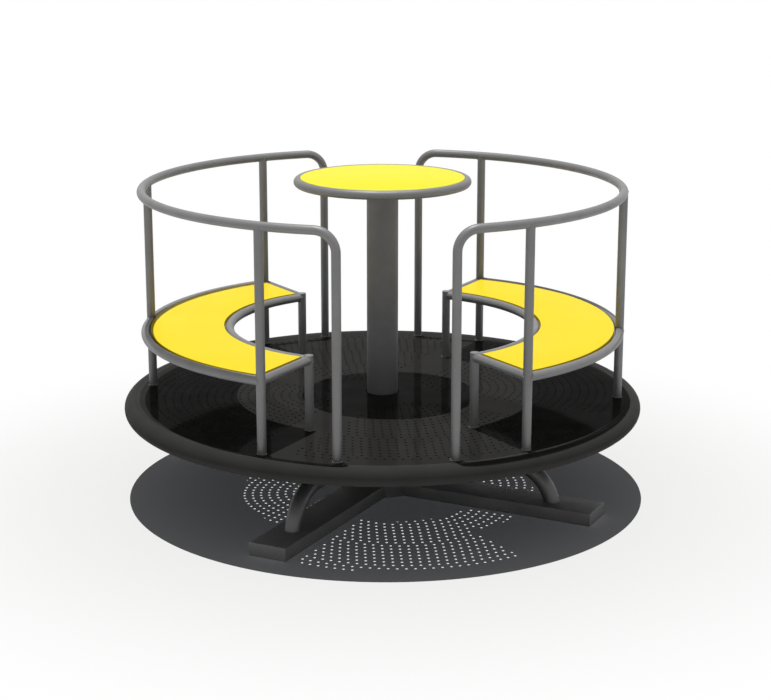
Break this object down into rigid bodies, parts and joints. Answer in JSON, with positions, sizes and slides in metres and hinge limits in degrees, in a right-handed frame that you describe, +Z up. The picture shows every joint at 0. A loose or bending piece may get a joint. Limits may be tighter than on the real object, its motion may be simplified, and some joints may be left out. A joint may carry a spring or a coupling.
{
  "type": "playground carousel",
  "caption": "Round spinning deck with two curved benches and guard rails, a fixed round table on a column, and a cross of beams below.",
  "frame": {"origin": "on the ground under the middle of the deck", "axes": "+Z up along the column; +X towards the middle of the right bench"},
  "size_m": [2, 2, 1.2346],
  "materials": {
    "grey_coating": "satin powder coat",
    "base_coating": "satin powder coat",
    "black_coating": "glossy powder coat",
    "deck_coating": "glossy black perforated plate",
    "yellow_panel": "matt plastic board"
  },
  "bodies": {
    "base": {"base_beam_1": "base_coating", "base_beam_2": "base_coating", "base_beam_3": "base_coating", "base_beam_4": "base_coating", "base_drum": "base_coating", "base_stay_1": "base_coating", "base_stay_2": "base_coating", "base_stay_3": "base_coating", "base_stay_4": "base_coating", "table_column": "grey_coating", "table_spider": "grey_coating", "table_ring": "grey_coating", "table_top": "yellow_panel"},
    "platform": {"deck_plate": "deck_coating", "rim_tube": "black_coating", "hub_housing": "black_coating", "deck_rib_1": "black_coating", "deck_rib_2": "black_coating", "deck_rib_3": "black_coating", "deck_rib_4": "black_coating", "left_rail": "grey_coating", "left_front_corner_post": "grey_coating", "left_front_inner_leg": "grey_coating", "left_front_seat_end_tube": "grey_coating", "left_back_corner_post": "grey_coating", "left_back_inner_leg": "grey_coating", "left_back_seat_end_tube": "grey_coating", "left_outer_post_lower": "grey_coating", "left_outer_post_upper": "grey_coating", "left_seat_outer_tube": "grey_coating", "left_seat_inner_tube": "grey_coating", "left_seat_carrier": "grey_coating", "right_rail": "grey_coating", "right_front_corner_post": "grey_coating", "right_front_inner_leg": "grey_coating", "right_front_seat_end_tube": "grey_coating", "right_back_corner_post": "grey_coating", "right_back_inner_leg": "grey_coating", "right_back_seat_end_tube": "grey_coating", "right_outer_post_lower": "grey_coating", "right_outer_post_upper": "grey_coating", "right_seat_outer_tube": "grey_coating", "right_seat_inner_tube": "grey_coating", "right_seat_carrier": "grey_coating", "left_seat_panel": "yellow_panel", "right_seat_panel": "yellow_panel"}
  },
  "joints": [
    {"name": "platform_spin", "type": "hinge", "parent": "base", "child": "platform", "pos_m": [0, 0, 0.39], "axis": [0, 0, 1], "continuous": true}
  ]
}
